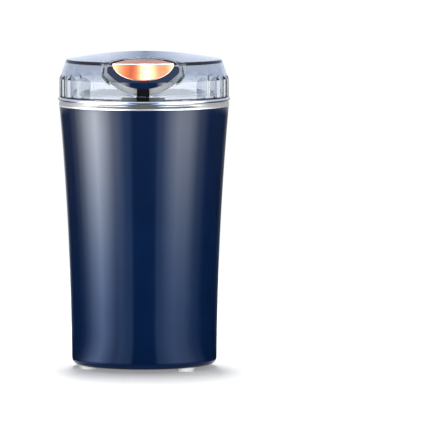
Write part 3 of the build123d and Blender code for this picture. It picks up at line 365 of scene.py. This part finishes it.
navy = (0.0016, 0.0150, 0.066)
looks = {
    "navy_gloss": moulded("navy_gloss", navy, 0.10, grain=0.015, spread=0.02),
    "navy_satin": moulded("navy_satin", shade(navy, 1.1), 0.16, grain=0.03, Specular_IOR_Level=0.16),
    "clear_lid": clear("clear_lid", smoky=(0.62, 0.66, 0.75), painted_light_wall=(0.76, 0.81, 0.88),
                       painted_edge=(0.08, 0.09, 0.12), frosted=(0.92, 0.95, 0.95), rough=0.03),
    "chrome_trim": turned_metal("chrome_trim", (0.86, 0.87, 0.89), 0.08, drift=0.02, strength=0.01,
                                spread=0.03, satin=(ring_low, ring_low + satin_edge)),
    # The second colour is the painted highlight along the cap's edge
    "copper_plate": plated("copper_plate", (0.80, 0.155, 0.04), (0.88, 0.78, 0.68), 0.09,
                           (900.0, 900.0, 60.0), drift=0.06, strength=0.03, spread=0.03,
                           Coat_Weight=1.0, Coat_Roughness=0.05),
    "black_plastic": moulded("black_plastic", (0.004, 0.0045, 0.006), 0.38, grain=0.12,
                             Specular_IOR_Level=0.12),
    "dark_key": moulded("dark_key", (0.10, 0.11, 0.125), 0.25, grain=0.06),
    "white_rubber": moulded("white_rubber", (0.84, 0.84, 0.83), 0.62, drift=0.03, grain=0.2),
    "grey_rubber": moulded("grey_rubber", (0.16, 0.16, 0.16), 0.70, grain=0.25),
    "bowl_steel": turned_metal("bowl_steel", (0.86, 0.86, 0.85), 0.42),
    "blade_steel": brushed("blade_steel", (0.60, 0.60, 0.59), 0.24, (3500.0, 300.0, 300.0)),
    "screw_steel": brushed("screw_steel", (0.50, 0.50, 0.48), 0.32, (1800.0, 1800.0, 600.0)),
    "spring_steel": brushed("spring_steel", (0.42, 0.42, 0.43), 0.30, (900.0, 900.0, 2500.0)),
    "core_steel": banded("core_steel", (0.08, 0.08, 0.085), (0.22, 0.22, 0.23), axis="Z", pitch=0.0005,
                         rough=0.45, metallic=0.8, strength=0.5),
    "copper_wire": banded("copper_wire", (0.20, 0.06, 0.02), (0.55, 0.20, 0.07), axis="Z", pitch=0.0006,
                          rough=0.30, metallic=0.85, strength=0.6),
    "bronze": brushed("bronze", (0.48, 0.30, 0.12), 0.38, (2200.0, 2200.0, 2200.0), drift=0.2),
    "zinc_bracket": brushed("zinc_bracket", (0.44, 0.45, 0.46), 0.36, (500.0, 500.0, 500.0), drift=0.15),
    "carbon": moulded("carbon", (0.012, 0.012, 0.012), 0.55, drift=0.3, grain=0.3),
    "white_plastic": moulded("white_plastic", (0.74, 0.74, 0.70), 0.42, drift=0.04, grain=0.1),
    "red_insulation": moulded("red_insulation", (0.30, 0.012, 0.010), 0.40, grain=0.1),
    "blue_insulation": moulded("blue_insulation", (0.012, 0.045, 0.26), 0.40, grain=0.1),
    "grey_insulation": moulded("grey_insulation", (0.10, 0.10, 0.105), 0.42, grain=0.1),
}
for entry in frame["record"]["subparts"]:
    slots = nodes[entry["node"]].data.materials
    slots.clear()
    slots.append(looks[entry["material_slot"]])


# Springs: each CAD spring hidden and replaced by a copy attached to its body
def make_spring(node, body):
    coil = bpy.data.objects.new(node + "_coil", nodes[node].data.copy())
    scene.collection.objects.link(coil)
    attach(coil, body)
    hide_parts(node)
    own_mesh(coil)


make_spring("button_spring", "lid")
make_spring("plunger_spring", "housing")


def new_mesh_object(name, points, faces):
    mesh = bpy.data.meshes.new(name)
    mesh.from_pydata(points, [], faces)
    made = bpy.data.objects.new(name, mesh)
    scene.collection.objects.link(made)
    return made


white = (1.0, 1.0, 1.0)
black = (0.0, 0.0, 0.0)
floor_colour = (0.90, 0.885, 0.87)
floor_glow = 0.26
floor_size = 0.9
fade_from_share = 0.5
fade_to_share = 0.95


# Floor: pale square that fades into the background in a circle and keeps the shadow
def make_floor(size):
    corners = [(-size, -size, 0), (size, -size, 0), (size, size, 0), (-size, size, 0)]
    floor = new_mesh_object("floor", corners, [(0, 1, 2, 3)])
    made = bpy.data.materials.new("floor_paint")
    tree = emptied(made)
    far = add(tree, "ShaderNodeVectorMath", {"operation": "LENGTH"}, Vector=local(tree))
    diffuse = add(tree, "ShaderNodeBsdfDiffuse", Color=opaque(floor_colour))
    glow = add(tree, "ShaderNodeEmission", Color=opaque(white),
               Strength=product(tree, seen_rays(tree), floor_glow))
    fade = map_range(tree, far.outputs["Value"], fade_from_share * size, fade_to_share * size, smooth=True)
    through = tree.nodes.new("ShaderNodeBsdfTransparent")
    mix = mix_shaders(tree, fade, add_shaders(tree, diffuse, glow), through)
    show(tree, mix, "ShaderNodeOutputMaterial")
    floor.data.materials.append(made)


make_floor(floor_size)

# Studio: white below and round the horizon, darker overhead
ambient_colour = (0.86, 0.93, 1.0)
ambient_strength = 0.30
sky_stops = [(0.515, white), (0.58, (0.72, 0.77, 0.82)), (0.70, (0.46, 0.52, 0.60)),
             (1.0, (0.40, 0.46, 0.54))]
world = bpy.data.worlds.new("studio")
scene.world = world
sky = emptied(world)
sky_height = axes(sky, sky.nodes.new("ShaderNodeTexCoord").outputs["Generated"])[2]
sky_colour = ramp(sky, grey_range(sky, sky_height, 0.5, 1.0), sky_stops)
ambient = add(sky, "ShaderNodeBackground", Color=opaque(ambient_colour), Strength=ambient_strength)
shown = add(sky, "ShaderNodeBackground", Color=sky_colour, Strength=1.0)
show(sky, mix_shaders(sky, seen_rays(sky), ambient, shown), "ShaderNodeOutputWorld")


def aim(thing, target):
    direction = Vector(target) - Vector(thing.location)
    thing.rotation_euler = direction.to_track_quat("-Z", "Y").to_euler()


# Lamps, which neither the camera nor a reflection shows
def lamp(name, place, target, width, tall, radiance):
    data = bpy.data.lights.new(name, "AREA")
    data.shape = "RECTANGLE"
    data.size = width
    data.size_y = tall
    data.energy = radiance * math.pi * width * tall
    made = bpy.data.objects.new(name, data)
    made.location = place
    aim(made, target)
    made.visible_camera = False
    made.visible_glossy = False
    scene.collection.objects.link(made)
    return made


# Lets a lamp or panel reach the named pieces alone
def light_only(light, name, pieces):
    lit = bpy.data.collections.new(name)
    for piece in pieces:
        lit.objects.link(nodes[piece])
    light.light_linking.receiver_collection = lit


lamp("overhead", (-0.04, 0.46, 2.5), (0.0, 0.0, 0.05), width=0.35, tall=1.1, radiance=45.0)
lamp("front_fill", (0.0, -1.6, 0.17), (0.0, 0.0, 0.06), width=1.6, tall=0.34, radiance=5.6)
foot_fill = lamp("foot_fill", (0.0, -1.2, 0.06), (0.0, 0.0, 0.0), width=0.8, tall=0.10, radiance=24.0)
light_only(foot_fill, "feet_lit", ("foot_right", "foot_left", "foot_rear"))

panel_steps = 96
panel_strength = 13.0


# Round panels seen in reflections alone, lit by azimuth: 0 degrees is the front, positive to the right
def azimuth_ramp(tree, turn, stops):
    return ramp(tree, turn, [((azimuth + 180.0) / 360.0, tuple(v / panel_strength for v in tone))
                             for azimuth, tone in stops])


def grey(stops):
    return [(azimuth, (value, value, value)) for azimuth, value in stops]


def make_panel(name, rows):
    turns = [2 * math.pi * i / panel_steps for i in range(panel_steps)]
    points = [(radius * math.sin(turn), -radius * math.cos(turn), z) for radius, z in rows for turn in turns]
    faces = []
    for row in range(0, panel_steps * (len(rows) - 1), panel_steps):
        for i in range(panel_steps):
            after = (i + 1) % panel_steps
            faces.append((row + i, row + after, row + panel_steps + after, row + panel_steps + i))
    panel = new_mesh_object(name, points, faces)
    for kind in ("camera", "diffuse", "transmission", "volume_scatter", "shadow"):
        setattr(panel, "visible_" + kind, False)
    made = bpy.data.materials.new(name + "_light")
    tree = emptied(made)
    made.cycles.emission_sampling = "NONE"
    panel.data.materials.append(made)
    x, y, z = axes(tree, local(tree))
    angle = math_node(tree, "ARCTAN2", x, product(tree, y, -1.0))
    turn = math_node(tree, "ADD", math_node(tree, "DIVIDE", angle, 2.0 * math.pi), 0.5)
    return panel, tree, turn, z


# Light that the body reflects, by azimuth and by height in metres
body_panels = grey([(-180, 0.6), (-140, 0.7), (-125, 0.06), (-100, 0.1), (-88, 0.6), (-78, 2.5), (-66, 7.5),
                    (-55, 12.0), (-44, 7.5), (-33, 2.4), (-20, 0.2), (-8, 0.1), (8, 0.1), (20, 0.35),
                    (39, 4.6), (52, 3.9), (66, 0.8), (80, 0.1), (120, 0.03), (150, 0.4), (180, 0.6)])
body_heights = [(0.008, (0.14, 0.19, 0.31)), (0.028, (0.17, 0.23, 0.36)), (0.055, (0.29, 0.36, 0.50)),
                (0.081, (0.48, 0.55, 0.66)), (0.127, (0.92, 0.95, 1.0))]
left_strip = (0.30, 0.50, 0.85)
right_strip = (0.32, 0.52, 0.85)
front_strips = [(-36, black), (-28, left_strip), (-15, left_strip), (-12, black), (13, black),
                (16, right_strip), (30, right_strip), (45, (0.12, 0.2, 0.33)), (72, (0.10, 0.17, 0.27)),
                (85, black)]

# Light that the ring, the lid's wall and the lid's top reflect, and light above them
ring_panels = grey([(-180, 0.6), (-110, 0.45), (-95, 0.5), (-62, 1.1), (-47, 0.4), (-25, 0.3), (-10, 0.15),
                    (10, 0.15), (25, 0.25), (49, 0.15), (63, 0.8), (80, 0.5), (110, 0.45), (180, 0.6)])
wall_panels = grey([(-180, 0.6), (-110, 0.3), (-74, 0.3), (-60, 7.0), (-22, 9.0), (-14, 0.1), (14, 0.1),
                    (22, 9.0), (60, 7.0), (74, 0.3), (110, 0.3), (180, 0.6)])
top_half = [(15, (0.8, 0.9, 1.05)), (45, (1.1, 1.2, 1.4)), (75, (0.7, 0.8, 1.0)), (120, (0.5, 0.6, 0.8)),
            (150, (0.95, 1.05, 1.28)), (165, (0.95, 1.05, 1.28)), (180, (0.22, 0.31, 0.44))]
top_panels = [(-azimuth, tone) for azimuth, tone in reversed(top_half)] + top_half
high_panels = grey([(-180, 0.6), (-75, 0.8), (-50, 1.4), (-25, 1.0), (-14, 0.2), (14, 0.2), (25, 1.0),
                    (50, 1.4), (75, 0.8), (180, 0.6)])

# Heights in metres over which each set of panels takes over from the one below
tent_bands = [((0.137, 0.143), ring_panels), ((0.1515, 0.1535), wall_panels), ((0.162, 0.167), top_panels),
              ((0.226, 0.236), high_panels)]

# Light that the button reflects
card_core = (7.0, 8.0, 11.0)
card_panels = [(-43, black), (-39, (4.6, 5.0, 5.8)), (-35, (3.9, 4.3, 5.0)), (-28, (1.6, 1.8, 2.2)),
               (-21, (0.55, 0.5, 0.45)), (-15, (0.05, 0.0, 0.0)), (-9, (0.5, 0.5, 0.6)),
               (-4, (3.2, 3.5, 4.6)), (0, card_core), (7, card_core), (12, (3.7, 4.3, 5.8)),
               (18, (1.4, 1.6, 2.2)), (27, (1.2, 1.4, 1.9)), (34, (3.4, 3.7, 4.6)), (39, (4.8, 5.2, 6.0)),
               (43, black)]


# Tent of panels and dark flags round the object
def make_tent(rows):
    _, tree, turn, z = make_panel("tent", rows)
    top = rows[-1][1]
    rise = math_node(tree, "DIVIDE", z, top)
    heights = ramp(tree, rise, [(height / top, tone) for height, tone in body_heights])
    low_lit = mix_colours(tree, 1.0, azimuth_ramp(tree, turn, body_panels), heights, "MULTIPLY")
    colour = mix_colours(tree, 1.0, low_lit, azimuth_ramp(tree, turn, front_strips), "ADD")
    for (begin, finish), panels in tent_bands:
        step = map_range(tree, z, begin, finish, smooth=True)
        colour = mix_colours(tree, step, colour, azimuth_ramp(tree, turn, panels))
    glow = add(tree, "ShaderNodeEmission", Color=colour, Strength=panel_strength)
    show(tree, glow, "ShaderNodeOutputMaterial")


# Card that the button alone reflects
def make_card(rows):
    panel, tree, turn, _ = make_panel("button_card", rows)
    colour = azimuth_ramp(tree, turn, card_panels)
    glow = add(tree, "ShaderNodeEmission", Color=colour, Strength=panel_strength)
    both = add_shaders(tree, glow, tree.nodes.new("ShaderNodeBsdfTransparent"))
    show(tree, both, "ShaderNodeOutputMaterial")
    light_only(panel, "card_lit", ("button_cap",))


# Rows of radius and height in metres: the tent's skirt hides the floor from the foot of the body
tent_rows = [(0.050, 0.0005), (0.10, 0.012), (0.10, 0.45)]
card_rows = [(0.098, 0.190), (0.098, 0.232)]
make_tent(tent_rows)
make_card(card_rows)

# Camera at the photograph's viewing angle
camera_place = (0.039, -3.2, 0.33)
camera_target = (0.039, 0.0, 0.0886)
camera_data = bpy.data.cameras.new("camera")
camera_data.sensor_width = 36.0
camera_data.lens = 476.0
camera_data.clip_end = 100.0
camera = bpy.data.objects.new("camera", camera_data)
camera.location = camera_place
aim(camera, camera_target)
scene.collection.objects.link(camera)
scene.camera = camera
scene.view_settings.view_transform = "Standard"
